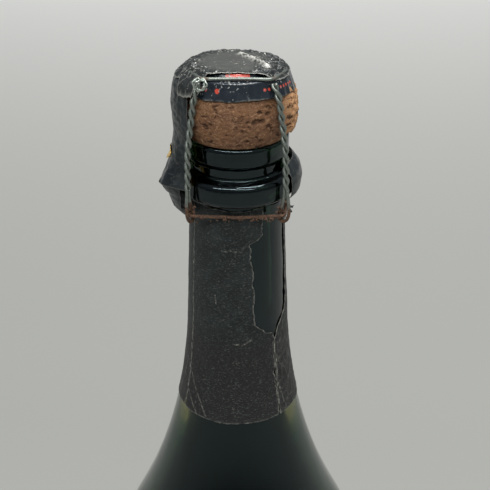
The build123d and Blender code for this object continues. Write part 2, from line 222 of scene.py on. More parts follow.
def resampled(line, spacing):
    """The same line of points, evenly spaced."""
    line = np.asarray(line, float)
    gone = np.r_[0, np.cumsum(np.hypot(*np.diff(line, axis=0).T))]
    even = np.linspace(0, gone[-1], int(round(gone[-1] / spacing)) + 1)
    return np.stack([np.interp(even, gone, line[:, axis]) for axis in (0, 1)], axis=-1)


def piece(name, grids, wrap=True, close=True, **fields):
    """One mesh of grids of points, rows by columns. A wrapped grid is closed round, and a
    closed one has a face at each end. A field gives a value for each point of the mesh."""
    points = []
    faces = []
    start = 0
    for grid in grids:
        rows, columns = grid.shape[:2]
        index = start + np.arange(rows * columns).reshape(rows, columns)
        ends = [index[0].tolist(), index[-1][::-1].tolist()] if close else []
        if wrap:
            index = np.hstack([index, index[:, :1]])
        quads = [index[:-1, :-1], index[1:, :-1], index[1:, 1:], index[:-1, 1:]]
        faces += np.stack(quads, axis=-1).reshape(-1, 4).tolist() + ends
        points.append(grid.reshape(-1, 3))
        start += rows * columns
    mesh = bpy.data.meshes.new(name)
    mesh.from_pydata(np.concatenate(points).tolist(), [], faces)
    mesh.shade_smooth()
    for title, values in fields.items():
        held = mesh.attributes.new(title, "FLOAT", "POINT")
        held.data.foreach_set("value", np.ravel(values).astype(np.float32))
    made = bpy.data.objects.new(name, mesh)
    bpy.context.scene.collection.objects.link(made)
    return made


def welded(made):
    """Points in one place are joined, and all faces point outwards."""
    shape = bmesh.new()
    shape.from_mesh(made.data)
    bmesh.ops.remove_doubles(shape, verts=shape.verts, dist=0.002 * mm)
    bmesh.ops.recalc_face_normals(shape, faces=shape.faces)
    shape.to_mesh(made.data)
    shape.free()
    return made


def fitted(made, body, slot, finish, *replaced):
    """The piece rides on its body, takes its finish and stands for the CAD nodes named."""
    made.data.materials.append(finish)
    if replaced:
        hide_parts(*replaced)
    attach(made, body)
    return made


def bulge(low, high, count):
    """Arc from a foot to the widest place, level there: the radius falls as one minus cosine."""
    (foot_r, foot_z), (wide_r, wide_z) = low, high
    rise = wide_z - foot_z
    reach = (rise ** 2 + (wide_r - foot_r) ** 2) / (2 * (wide_r - foot_r))
    angle = np.linspace(np.arcsin(rise / reach), 0, count)
    return np.stack([wide_r - reach * (1 - np.cos(angle)), wide_z - reach * np.sin(angle)], -1)


def settled(points):
    """The head of the cork and all that lies on it has sunk towards the rear and the right: from
    its widest place up the points are lowered, more and more with their distance that way."""
    slant = points[..., 1] + sag_right_share * np.maximum(points[..., 0], 0)
    back = np.clip((slant + sag_from) / sag_length, 0, 1)
    high = np.clip((points[..., 2] - lip_z - cork_waist_height) / sag_rise, 0, 1)
    lowered = points.copy()
    lowered[..., 2] -= cap_sag * back * high
    return lowered


def cork_profile():
    """Half section of the cork from the middle of its top down to the middle of its end."""
    seat_z = lip_z + cork_seat_gap
    waist_z = lip_z + cork_waist_height
    foot = bulge((cork_foot_r, seat_z), (cork_r, waist_z), 24)
    crown = bulge((cork_crown_r, waist_z - (cork_top_z - waist_z)), (cork_r, waist_z), 24)
    crown[:, 1] = 2 * waist_z - crown[:, 1]
    turn = np.linspace(0, np.pi / 2, 8)
    rim_r = cork_crown_r - cork_crown_round
    rim = np.stack(
        [rim_r + cork_crown_round * np.sin(turn), cork_top_z - cork_crown_round * (1 - np.cos(turn))],
        axis=-1,
    )
    sides = crown[crown[:, 1] < rim[-1, 1]]
    line = [(0, cork_top_z), *rim, *sides[:-1], *foot[::-1], (cork_shank_r, seat_z)]
    line += [(cork_shank_r, cork_low_z), (0, cork_low_z)]
    return resampled(line, cork_spacing)


def cork_grid():
    """The section turned round the axis and moved along its own normal by grain and pits. On
    the right the head bulges further and is broken off in a step over the lip."""
    profile = cork_profile()
    azimuth = np.arange(cork_columns) * 360 / cork_columns
    side = np.gradient(profile, axis=0)
    side /= np.linalg.norm(side, axis=1, keepdims=True)
    out_r, out_z = -side[:, 1:], side[:, :1]
    radius, z = profile[:, :1], profile[:, 1:]
    run = np.radians(azimuth) * cork_r
    turned_run = run[None, :]
    height = z - lip_z
    shown = np.clip((height - 0.3 * mm) / mm, 0, 1) * np.clip(radius / cork_r * 4 - 2.8, 0, 1)
    grain = waves(turned_run, z, [2.6 * mm, 1.5 * mm, 0.9 * mm], 3) * 0.07 * mm
    pits = np.zeros(grain.shape)
    random = np.random.default_rng(11)
    top = cork_top_z - lip_z
    for share, rise, size in random.uniform(0, 1, (pit_count, 3)):
        width = (0.22 + 0.5 * size ** 3) * mm
        off = (turned_run / (2 * np.pi * cork_r) - share + 0.5) % 1 - 0.5
        far = np.hypot(off * 2 * np.pi * cork_r / 1.4, height - rise * top) / width
        pits = np.maximum(pits, np.clip(1.25 - far, 0, 1) * (0.25 + 0.35 * size) * mm)
    off_right = np.abs((azimuth - broken_azimuth + 180) % 360 - 180)
    right = np.clip((broken_half_deg - off_right) / broken_fade_deg, 0, 1)[None, :]
    ragged = waves(turned_run, z, [3.1 * mm, 1.7 * mm], 8)
    body = np.clip((height - 1.7 * mm - ragged * 0.6 * mm) / (0.3 * mm), 0, 1)
    swollen = right * body * (0.55 + 0.25 * ragged + 0.9 * np.clip(1 - height / (7 * mm), 0, 1)) * mm
    moved = (grain - pits + swollen) * shown
    points = settled(polar(radius + out_r * moved, azimuth[None, :], z + out_z * moved))
    return points, np.clip(pits / (0.4 * mm), 0, 1) * shown


def field(tree, name):
    """Values that a mesh holds at its points."""
    return place(tree, "Attribute", {}, attribute_name=name).outputs["Fac"]


def wavered(tree, vector, cloud, reach):
    """Coordinates moved by a random colour times a reach in metres, so that a pattern wavers."""
    shift = place(tree, "VectorMath", {0: cloud, 1: (reach,) * 3}, operation="MULTIPLY").outputs[0]
    return place(tree, "VectorMath", {0: vector, 1: shift}, operation="ADD").outputs[0]


def grain_cork():
    """Pressed cork: ragged grains of many browns, dark bark streaks between them, and a paler,
    redder stretch at the right, partly where the outer grains have broken off and partly painted
    light falling from the right. The pits darken with their depth: painted shade in the hollows."""
    made, tree, shader = material("grain_cork", {"Roughness": 0.8, "Specular IOR Level": 0.2})
    spot = where(tree)
    cloud = place(tree, "TexNoise", {"Vector": spot, "Scale": 700.0, "Detail": 3.0})
    bent = wavered(tree, spot, cloud.outputs["Color"], 2.2 * mm)
    drawn = stretched(tree, bent, (1, 1, 1.8))
    cells = place(tree, "TexVoronoi", {"Vector": drawn, "Scale": 520.0})
    grey = place(tree, "RGBToBW", {"Color": cells.outputs["Color"]}).outputs[0]
    wide = noise(tree, spot, 5 * mm, detail=2.0)
    fine = noise(tree, stretched(tree, bent, (1, 1, 3)), 1.1 * mm, detail=5.0, roughness=0.7)
    bark = noise(tree, stretched(tree, bent, (1, 1, 2.6)), 2.6 * mm, detail=4.0, roughness=0.6)
    base = mixed(tree, grey, (0.13, 0.06, 0.03, 1), (0.31, 0.16, 0.08, 1))
    warm = mixed(tree, between(tree, wide, 0.4, 0.66), base, (0.17, 0.085, 0.05, 1))
    light = mixed(tree, between(tree, fine, 0.5, 0.66), warm, (0.42, 0.25, 0.14, 1))
    x = place(tree, "SeparateXYZ", {"Vector": spot}).outputs["X"]
    # Paler at the right: partly the broken-off grains, partly painted light falling from the right.
    right = joined(tree, "MULTIPLY", between(tree, x, 10.5 * mm, 14 * mm), 0.75)
    pale = mixed(tree, right, light, (0.62, 0.34, 0.17, 1))
    dark = mixed(tree, between(tree, bark, 0.54, 0.64), pale, (0.065, 0.03, 0.017, 1))
    # Painted shade: each pit is darkened with its depth.
    pit_shaded = mixed(tree, joined(tree, "MULTIPLY", field(tree, "pit"), 0.55), dark, (0.02, 0.01, 0.006, 1))
    tree.links.new(pit_shaded, shader.inputs["Base Color"])
    rough = joined(tree, "SUBTRACT", fine, joined(tree, "MULTIPLY", bark, 0.8))
    bump(tree, shader, rough, 0.22 * mm, 0.9)
    return made


cork_points, cork_pits = cork_grid()
cork = welded(piece("cork", [cork_points], close=False, pit=cork_pits))
fitted(cork, "cork", "grain_cork", grain_cork(), "cork_body")


def disc_cork():
    """Natural cork: growth lines across, with short dark pores."""
    made, tree, shader = material("disc_cork", {"Roughness": 0.75, "Specular IOR Level": 0.25})
    spot = where(tree)
    drawn = stretched(tree, spot, (6, 1, 1))
    rings = noise(tree, drawn, 3 * mm, detail=4.0)
    pores = noise(tree, stretched(tree, spot, (1, 3, 1)), 1.1 * mm, detail=4.0)
    base = mixed(tree, rings, (0.52, 0.33, 0.17, 1), (0.36, 0.2, 0.09, 1))
    shade = mixed(tree, between(tree, pores, 0.62, 0.7), base, (0.1, 0.05, 0.03, 1))
    tree.links.new(shade, shader.inputs["Base Color"])
    bump(tree, shader, pores, 0.12 * mm, 0.6)
    return made


disc_finish = disc_cork()
for name in ("cork_disc_upper", "cork_disc_lower"):
    dress(name, disc_finish)


# Plaque
# Tinplate disc pressed over the cork's head, so that the wire doesn't cut into
# the cork: a raised button, a flat shoulder for the wire, and a fluted skirt.

plaque_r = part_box("plaque")[1].x
skirt_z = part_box("plaque")[0].z
button_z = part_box("plaque")[1].z
tinplate = 0.3 * mm
button_r = 10.6 * mm
button_slope = 0.7 * mm
button_height = 1.3 * mm
plaque_shoulder_r = 14.2 * mm
plaque_z = button_z - button_height
plaque_columns = 900
flute_count = 34
flute_depth = 0.09 * mm
dent_depth = 0.16 * mm
skirt_fold_azimuth = 11.5
skirt_fold_height = 0.2 * mm
skirt_edge_wave = 0.3 * mm


def plaque_grid():
    """The closed section of the sheet turned round the axis. Down the skirt the radius is
    fluted as a cosine of the azimuth, and the edge rises and falls in slow random waves."""
    outer = [(0, button_z), (button_r - 0.4 * mm, button_z), (button_r, button_z - 0.15 * mm)]
    outer += [(button_r + button_slope, plaque_z + 0.15 * mm), (button_r + 1.2 * mm, plaque_z)]
    outer += [(plaque_shoulder_r - 0.4 * mm, plaque_z), (plaque_shoulder_r, plaque_z - 0.2 * mm)]
    outer += [(plaque_r, skirt_z)]
    line = resampled(outer, 0.25 * mm)
    side = np.gradient(line, axis=0)
    side /= np.linalg.norm(side, axis=1, keepdims=True)
    inner = line + tinplate * np.stack([side[:, 1], -side[:, 0]], axis=-1)
    inner[0, 0] = 0
    section = np.concatenate([line, inner[::-1]])
    azimuth = np.arange(plaque_columns) * 360 / plaque_columns
    turn = np.radians(azimuth)[None, :]
    down = np.clip((plaque_z - section[:, 1:]) / (plaque_z - skirt_z), 0, 1)
    flutes = flute_depth * np.cos(flute_count * turn) * down
    dents = dent_depth * waves(turn * plaque_r, 0 * turn, [11 * mm, 5 * mm], 5) * down
    fold = skirt_fold_height * np.exp(-(((azimuth - skirt_fold_azimuth) / 1.2) ** 2))[None, :] * down
    radius = section[:, :1] + flutes + dents + fold
    wavy = waves(turn * plaque_r, 0 * turn, [17 * mm, 7 * mm], 6)
    z = section[:, 1:] + skirt_edge_wave * wavy * down ** 2
    wear = np.exp(-(((section[:, 1:] - skirt_z) / (0.22 * mm)) ** 2)) + 0 * azimuth
    points = settled(polar(radius, azimuth[None, :], z))
    return points, wear + fold / (0.3 * mm), section, azimuth


def printed(section, azimuth):
    """Where the red print lies: a bar on the button's front wall and dots round the skirt."""
    mid_z = (plaque_z + skirt_z) / 2
    wall = (section[:, 1:] > plaque_z + 0.1 * mm) & (section[:, :1] > button_r - 0.25 * mm)
    bar = wall & (azimuth > 360 - 15) | wall & (azimuth < 18.5)
    marks = np.zeros(bar.shape, bool)
    dots = ((-37, 0.35), (-31.5, 0.35), (-19.5, 0.62), (29, 0.4), (34, 0.4), (39, 0.4), (50, 0.35),
            (55, 0.35), (60, 0.35), (65, 0.35), (70, 0.35), (160, 0.4), (166, 0.4), (200, 0.6))
    for centre, size in dots:
        off = (azimuth - centre + 180) % 360 - 180
        far = np.hypot(np.radians(off) * plaque_r, section[:, 1:] - mid_z - 0.2 * mm)
        marks |= (far < size * mm) & (section[:, :1] > plaque_shoulder_r)
    return (bar | marks).astype(float)


def effect(name, inputs, outputs):
    """Empty node group with named sockets: the group, its input node and its output node."""
    group = bpy.data.node_groups.new(name, "ShaderNodeTree")
    for title, kind, value in inputs:
        socket = group.interface.new_socket(title, in_out="INPUT", socket_type="NodeSocket" + kind)
        if value is not None:
            socket.default_value = value
    for title, kind in outputs:
        group.interface.new_socket(title, in_out="OUTPUT", socket_type="NodeSocket" + kind)
    return group, group.nodes.new("NodeGroupInput"), group.nodes.new("NodeGroupOutput")


def specks_effect():
    """Fine specks in loose clusters: a fine noise cut high, and higher outside the clusters."""
    group, given, out = effect(
        "specks",
        [("Vector", "Vector", None), ("Scale", "Float", 2000.0), ("Amount", "Float", 0.5)],
        [("Mask", "Float")],
    )
    cluster_scale_share = 0.12
    cluster_weight = 0.55
    highest_cut = 1.12
    amount_drop = 0.3
    sharpness = 18.0
    inputs = {"Vector": given.outputs["Vector"], "Scale": given.outputs["Scale"], "Detail": 2.0}
    fine = place(group, "TexNoise", inputs).outputs["Fac"]
    wide_scale = joined(group, "MULTIPLY", given.outputs["Scale"], cluster_scale_share)
    inputs = {"Vector": given.outputs["Vector"], "Scale": wide_scale, "Detail": 2.0}
    wide = place(group, "TexNoise", inputs).outputs["Fac"]
    both = joined(group, "ADD", fine, joined(group, "MULTIPLY", wide, cluster_weight))
    lowered = joined(group, "MULTIPLY", given.outputs["Amount"], amount_drop)
    cut = joined(group, "SUBTRACT", highest_cut, lowered)
    above = joined(group, "MULTIPLY", joined(group, "SUBTRACT", both, cut), sharpness)
    clamped = place(group, "Clamp", {"Value": above}).outputs[0]
    group.links.new(clamped, out.inputs["Mask"])
    return group


specks = specks_effect()


def plaque_metal():
    """Glossy dark blue lacquer on tin, with red print, dust, and bare metal along worn edges."""
    made, tree, shader = material(
        "plaque_metal", {"Metallic": 0.0, "Coat Weight": 0.15, "Coat Roughness": 0.15}
    )
    spot = where(tree)
    cloud = noise(tree, spot, 2.5 * mm)
    base = mixed(tree, cloud, (0.008, 0.013, 0.02, 1), (0.02, 0.028, 0.036, 1))
    red = mixed(tree, field(tree, "print"), base, (0.62, 0.075, 0.045, 1))
    dust = place(tree, "Group", {"Vector": spot, "Scale": 1500.0, "Amount": 0.62}, node_tree=specks)
    dusty = mixed(tree, dust.outputs["Mask"], red, (0.3, 0.31, 0.3, 1))
    worn_at = joined(tree, "MULTIPLY", field(tree, "worn"), between(tree, cloud, 0.42, 0.6))
    shade = mixed(tree, worn_at, dusty, (0.28, 0.29, 0.28, 1))
    tree.links.new(shade, shader.inputs["Base Color"])
    gloss = joined(tree, "MULTIPLY_ADD", cloud, 0.3, 0.12)
    tree.links.new(gloss, shader.inputs["Roughness"])
    bump(tree, shader, noise(tree, spot, 1.4 * mm), 0.1 * mm, 0.35)
    return made


plaque_points, plaque_wear, plaque_section, plaque_azimuth = plaque_grid()
plaque = welded(
    piece(
        "plaque_disc", [plaque_points], close=False,
        worn=np.clip(plaque_wear, 0, 1), print=printed(plaque_section, plaque_azimuth),
    )
)
fitted(plaque, "cage", "plaque_metal", plaque_metal(), "plaque")


# Cage wires
# Galvanised wire. One length makes the crown and the four legs, each twisted five
# turns down to an eyelet. A second one is the belt, threaded through the eyelets
# under the glass ring, with its twisted ends bent into the key.

wire_r = 0.475 * mm
strand_offset = 0.49 * mm
wire_sides = 12
crown_wire_z = (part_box("crown_wire")[0].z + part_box("crown_wire")[1].z) / 2
leg_turns = 5
crown_corner_x = 9.1 * mm
crown_side_y = 12.1 * mm
crown_side_r = 12.9 * mm
crown_side_half = 3.5 * mm
leg_top_azimuth = 37.5
leg_foot_azimuth = 45.0
leg_top_r = 15.6 * mm
leg_top_drop = 1.1 * mm
leg_clearance = 0.2 * mm
leg_twist_depth = 12.0 * mm
leg_inside_r = 16.8 * mm
leg_foot_clearance = 0.7 * mm
leg_foot_r = leg_inside_r + 2 * wire_r + leg_foot_clearance
leg_rust_depth = 13 * mm
leg_rust_fade = 5 * mm
eyelet_depth = 21.8 * mm
eyelet_foot_r = 17.5 * mm
eyelet_spread = 2.0 * mm
eyelet_bulge = 0.4 * mm
eyelet_angle = 15.0
leg_steps = 150
eyelet_steps = 40
zinc_shades = ((0.12, 0.14, 0.125), (0.34, 0.37, 0.33))


def rust_effect():
    """Rust that creeps over metal: brown to orange by a fine noise, its reach by a wide one."""
    group, given, out = effect(
        "rust",
        [("Vector", "Vector", None), ("Reach", "Float", 0.3)],
        [("Color", "Color"), ("Mask", "Float")],
    )
    fine = noise(group, given.outputs["Vector"], 0.5 * mm, detail=4.0)
    wide = noise(group, given.outputs["Vector"], 3 * mm, detail=3.0)
    brown = (0.045, 0.026, 0.018, 1)
    orange = (0.17, 0.09, 0.052, 1)
    shade = mixed(group, between(group, fine, 0.35, 0.65), brown, orange)
    level = joined(group, "ADD", wide, joined(group, "SUBTRACT", given.outputs["Reach"], 0.5))
    group.links.new(shade, out.inputs["Color"])
    group.links.new(between(group, level, 0.46, 0.58), out.inputs["Mask"])
    return group


rust = rust_effect()


def wire_metal(name, reach, by_place, bright=1.0):
    """Dull galvanised wire, mottled grey-green, with rust where water stood. by_place adds the
    rust that a mesh's own field asks for, and bright lightens the zinc."""
    made, tree, shader = material(name, {"Specular IOR Level": 0.5})
    spot = where(tree)
    mottle = noise(tree, spot, 0.8 * mm, detail=4.0)
    dark, light = ([*(bright * tint for tint in shade), 1] for shade in zinc_shades)
    zinc = mixed(tree, mottle, dark, light)
    wide_reach = reach
    if by_place:
        wide_reach = joined(tree, "MULTIPLY_ADD", field(tree, "rusty"), 0.55, reach)
    rusty = place(tree, "Group", {"Vector": spot, "Reach": wide_reach}, node_tree=rust)
    shade = mixed(tree, rusty.outputs["Mask"], zinc, rusty.outputs["Color"])
    tree.links.new(shade, shader.inputs["Base Color"])
    bare = joined(tree, "SUBTRACT", 1.0, rusty.outputs["Mask"])
    tree.links.new(joined(tree, "MULTIPLY", bare, 0.75), shader.inputs["Metallic"])
    rough = joined(tree, "MULTIPLY_ADD", rusty.outputs["Mask"], 0.4, 0.42)
    tree.links.new(rough, shader.inputs["Roughness"])
    bump(tree, shader, mottle, 0.08 * mm, 0.6)
    return made


def along_stations(stations, count):
    """Points on cubic runs through the stations, the slope at each that of its neighbours'
    chord, with the count of steps even in the chords' summed length."""
    stations = np.asarray(stations, float)
    gone = np.r_[0, np.cumsum(np.linalg.norm(np.diff(stations, axis=0), axis=1))]
    slope = np.gradient(stations, gone, axis=0)
    even = np.linspace(0, gone[-1], count)
    first = np.clip(np.searchsorted(gone, even, side="right") - 1, 0, len(gone) - 2)
    span = (gone[first + 1] - gone[first])[:, None]
    t = (even[:, None] - gone[first][:, None]) / span
    start, end = stations[first], stations[first + 1]
    return (
        start * (2 * t ** 3 - 3 * t ** 2 + 1) + slope[first] * span * (t ** 3 - 2 * t ** 2 + t)
        + end * (3 * t ** 2 - 2 * t ** 3) + slope[first + 1] * span * (t ** 3 - t ** 2)
    )


def unit(vectors):
    """The same directions at length one: each vector divided by its own length."""
    return vectors / np.linalg.norm(vectors, axis=-1, keepdims=True)


def tube(path, radius, sides, steady):
    """Rings of points square to a path: each turns from the part of a steady direction that is
    square to the path there."""
    along = unit(np.gradient(path, axis=0))
    across = unit(steady - along * (along @ steady)[:, None])
    up = np.cross(along, across)
    turn = np.linspace(0, 2 * np.pi, sides, endpoint=False)[None, :, None]
    ring = np.cos(turn) * across[:, None] + np.sin(turn) * up[:, None]
    return path[:, None] + np.broadcast_to(radius, len(path))[:, None, None] * ring


def leg_path(side, end):
    """Centre line of one leg's wire: a strand down the twist, the eyelet round the belt, and
    the other strand back up. side is -1 at the left, end is -1 at the rear."""
    radii = [leg_top_r, plaque_r + 2 * wire_r + leg_clearance, cork_r + 2 * wire_r + leg_clearance]
    radii += [leg_inside_r + 2 * wire_r + leg_clearance, leg_foot_r]
    heights = [crown_wire_z - leg_top_drop, skirt_z, lip_z + cork_waist_height, lip_z]
    heights += [lip_z - leg_twist_depth]
    lean_shares = np.array([0.0, 0.35, 0.75, 1.0, 1.0])
    azimuth = leg_top_azimuth + (leg_foot_azimuth - leg_top_azimuth) * lean_shares
    azimuth = side * (azimuth if end > 0 else 180 - azimuth)
    line = along_stations(polar(np.array(radii), azimuth, np.array(heights)), leg_steps)
    share = np.linspace(0, 1, leg_steps)[:, None]
    sideways = unit(np.stack([-line[:, 1], line[:, 0], 0 * line[:, 0]], axis=-1))
    facing = unit(np.cross(unit(np.gradient(line, axis=0)), sideways))
    turn = np.radians(90 - eyelet_angle) + 2 * np.pi * leg_turns * (1 - share)
    spread = sideways * np.cos(turn) + facing * np.sin(turn)
    down = line + spread * strand_offset
    up = (line - spread * strand_offset)[::-1]
    foot_azimuth = side * (leg_foot_azimuth if end > 0 else 180 - leg_foot_azimuth)
    drop = polar(eyelet_foot_r, foot_azimuth, lip_z - eyelet_depth) - line[-1]
    turn = np.linspace(0, 2 * np.pi, eyelet_steps + 1)[1:-1, None]
    share = (1 - np.cos(turn)) / 2
    outward = polar(1.0, foot_azimuth, 0.0)
    middle = line[-1] + drop * share + outward * eyelet_bulge * np.sin(np.pi * share)
    across = strand_offset * np.cos(turn / 2) + eyelet_spread * np.sin(turn) * np.sin(turn / 2) ** 3
    path = settled(np.concatenate([down, middle + spread[-1] * across, up]))
    return path, unit(np.cross(drop, spread[-1]))


def crown_path():
    """The crown wire's centre line: eight straight runs over the plaque, whose corners are
    rounded by taking each point as the mean of its neighbours."""
    corners = [(crown_corner_x, -crown_side_y), (crown_side_r, -crown_side_half)]
    corners += [(x, -y) for x, y in corners[::-1]]
    corners += [(-x, y) for x, y in corners[::-1]]
    flat = resampled([*corners, corners[0]], 0.12 * mm)[:-1]
    near = 12
    rounded = sum(np.roll(flat, shift, axis=0) for shift in range(-near, near + 1)) / (2 * near + 1)
    level = np.full(len(rounded), crown_wire_z)
    path = settled(np.column_stack([rounded, level]))
    return np.concatenate([path, path[:1]])


leg_wire = wire_metal("cage_wire", 0.16, by_place=True)
leg_sides = {"front_left": (-1, 1), "front_right": (1, 1), "rear_left": (-1, -1), "rear_right": (1, -1)}
for name, (side, end) in leg_sides.items():
    path, steady = leg_path(side, end)
    rusty = np.clip((lip_z - leg_rust_depth - path[:, 2]) / leg_rust_fade, 0, 1)
    rings = tube(path, wire_r, wire_sides, steady)
    leg = piece("cage_leg_" + name, [rings], rusty=np.repeat(rusty, wire_sides))
    fitted(welded(leg), "cage", "cage_wire", leg_wire, "leg_" + name)

plain_wire = wire_metal("crown_wire", 0.4, by_place=False)
belt_metal = wire_metal("rusty_wire", 0.9, by_place=False)
rings = tube(crown_path(), wire_r, wire_sides, np.array([0, 0, 1.0]))
crown_loop = welded(piece("crown_loop", [rings], close=False))
fitted(crown_loop, "cage", "cage_wire", plain_wire, "crown_wire")
dress("belt_wire", belt_metal)
dress("key_stem", plain_wire)
dress("key_loop", plain_wire)


# Neck foil
# Thin lacquered aluminium capsule, embossed with fine level lines and smoothed
# down on the glass. It is split along a seam and torn open down the right.

foil_thickness = 0.14 * mm
neck_foot_r = 14.5 * mm
neck_foot_depth = 57.0 * mm
neck_slope_share = 0.038
flare_r = 187.0 * mm
foil_out = 0.21 * mm
skirt_top_depth = 17.6 * mm
skirt_foot_depth = 86.8 * mm
seam_azimuth = -61.0
seam_half_deg = 0.3
neat_cut_depth = 59 * mm
left_tear = 0.3 * mm
right_tear = 0.75 * mm
foil_spacing = 0.3 * mm
tear_left_deg = [(17.6, 31.5), (24, 31), (26, 33), (27.2, 24), (28.3, 12), (29.5, 15), (33, 16.5),
                 (37.6, 18), (42.8, 19.5), (50, 18.5), (54.5, 19.5), (55.3, 24), (56.6, 30),
                 (58.2, 36), (59, 43.6), (90, 43.6)]
tear_right_deg = [(17.6, 75), (22.8, 74.5), (29.6, 73), (37.6, 74.5), (46, 73), (52, 72), (54.5, 66),
                  (56, 58), (57.5, 52), (60, 48), (62, 44.4), (90, 44.4)]


def neck_radius(depth):
    """Outside of the glass neck: a straight slope, then an arc that flares out below it."""
    angle = np.arctan(neck_slope_share)
    centre_r = neck_foot_r + flare_r * np.cos(angle)
    centre_depth = neck_foot_depth - flare_r * np.sin(angle)
    straight = neck_foot_r - (neck_foot_depth - depth) * neck_slope_share
    arc = centre_r - np.sqrt(flare_r ** 2 - (depth - centre_depth) ** 2)
    return np.where(depth < neck_foot_depth, straight, arc)


def torn(along, size, seed):
    """Ragged line: random steps joined by straight runs, in a coarse and a fine pitch."""
    random = np.random.default_rng(seed)
    low, high = along.min(), along.max()
    line = 0.0
    for pitch, weight in ((2.3 * mm, 0.55), (0.8 * mm, 0.3), (0.4 * mm, 0.15)):
        count = max(int((high - low) / pitch), 2)
        steps = random.uniform(-1, 1, count)
        line = line + weight * np.interp(along, np.linspace(low, high, count), steps)
    return line * size


def near_line(x, y, points, width):
    """1 on a line of points and 0 away from it: a bell of the distance to its nearest run."""
    nearest = np.full(np.broadcast(x, y).shape, 1e9)
    for (x0, y0), (x1, y1) in zip(points[:-1], points[1:]):
        run = np.array([x1 - x0, y1 - y0])
        share = np.clip(((x - x0) * run[0] + (y - y0) * run[1]) / (run @ run), 0, 1)
        nearest = np.minimum(nearest, np.hypot(x - x0 - share * run[0], y - y0 - share * run[1]))
    return np.exp(-((nearest / width) ** 2))


def neck_foil(name, left, right, creases, seed):
    """A stretch of foil on the neck between a left and a right edge given by azimuths for each
    depth. It lifts at its torn edges and in random creases. bare is 1 where metal shows."""
    rows = int((skirt_foot_depth - skirt_top_depth) / foil_spacing)
    depth = np.linspace(skirt_top_depth, skirt_foot_depth, rows)
    neat = np.interp(depth / mm, *np.array(left).T)
    ragged = neat + np.degrees(torn(depth, left_tear, seed) / neck_foot_r)
    start = np.where(depth > neat_cut_depth, neat, ragged)
    stop = np.interp(depth / mm, *np.array(right).T)
    stop = stop + np.degrees(torn(depth, right_tear, seed + 1) / neck_foot_r)
    columns = int(np.radians((stop - start).max()) * neck_foot_r / foil_spacing)
    share = np.linspace(0, 1, columns)[None, :]
    azimuth = start[:, None] + (stop - start)[:, None] * share
    run = np.radians(azimuth) * neck_foot_r
    top = skirt_top_depth + 0.6 * mm + torn(run[0], 0.5 * mm, seed + 2)
    foot = skirt_foot_depth + torn(run[-1], 0.22 * mm, seed + 3)
    down = np.linspace(0, 1, rows)[:, None]
    deep = top + (foot - top) * down
    width = np.radians(stop - start)[:, None] * neck_foot_r
    from_left, from_right = share * width, (1 - share) * width
    from_side = np.minimum(from_left, from_right)
    ends = np.minimum((deep - top), (foot - deep))
    near = np.minimum(from_side, ends)
    soft = waves(run, deep, [9 * mm, 4.3 * mm, 2.1 * mm], seed + 4)
    folded = 1 - np.abs(waves(run, deep * 0.7, [5 * mm, 2.9 * mm], seed + 5))
    crumpled = np.clip((run - np.radians(38) * neck_foot_r) / (3 * mm), 0, 1)
    crumpled = crumpled * np.clip((deep - 44 * mm) / (6 * mm), 0, 1) * (azimuth < 110)
    lift = 0.05 * mm * soft + 0.16 * mm * crumpled * np.clip(folded, 0, 1)
    lift = lift + 0.07 * mm * np.exp(-((near / (0.5 * mm)) ** 2))
    patchy = 0.6 + 0.6 * waves(run, deep, [2.3 * mm, 1.1 * mm], seed + 6)
    worn = np.exp(-((near / (0.2 * mm)) ** 2)) * patchy
    for places, strength in creases:
        crease = [(np.radians(turn) * neck_foot_r, low * mm) for turn, low in places]
        line = near_line(run, deep, crease, 0.11 * mm)
        broken = np.clip(0.9 + 0.7 * waves(run, deep, [1.9 * mm, 0.8 * mm], seed + 7), 0, 1)
        worn = np.maximum(worn, line * strength * broken)
        lift = lift + 0.12 * mm * line
    worn = np.maximum(worn, 0.3 * crumpled * np.clip(folded * 5 - 4.3, 0, 1))
    radius = neck_radius(deep) + foil_out + np.clip(lift, -0.05 * mm, 1)
    points = polar(radius, azimuth, lip_z - deep)
    return piece(name, [points], wrap=False, close=False, bare=np.clip(worn, 0, 1))


def thickened(made, thickness):
    """The sheet gets its thickness inwards, closed all round its edges."""
    solid = made.modifiers.new("thickness", "SOLIDIFY")
    solid.thickness = thickness
    solid.offset = -1
    return made


def crinkle_effect():
    """Folds of crumpled foil: the edges of large and small random cells, with a soft noise."""
    group, given, out = effect(
        "crinkle",
        [("Vector", "Vector", None), ("Scale", "Float", 400.0)],
        [("Height", "Float")],
    )
    bend_reach = 1.5 * mm
    inputs = {"Vector": given.outputs["Vector"], "Scale": given.outputs["Scale"], "Detail": 3.0}
    cloud = place(group, "TexNoise", inputs).outputs["Color"]
    moved = wavered(group, given.outputs["Vector"], cloud, bend_reach)
    total = None
    for share, weight in ((1.0, 0.6), (2.7, 0.3)):
        scale = joined(group, "MULTIPLY", given.outputs["Scale"], share)
        cells = place(
            group, "TexVoronoi", {"Vector": moved, "Scale": scale}, feature="DISTANCE_TO_EDGE"
        )
        fold = joined(group, "MULTIPLY", cells.outputs["Distance"], weight * 2)
        total = fold if total is None else joined(group, "ADD", total, fold)
    group.links.new(total, out.inputs["Height"])
    return group


crinkle = crinkle_effect()


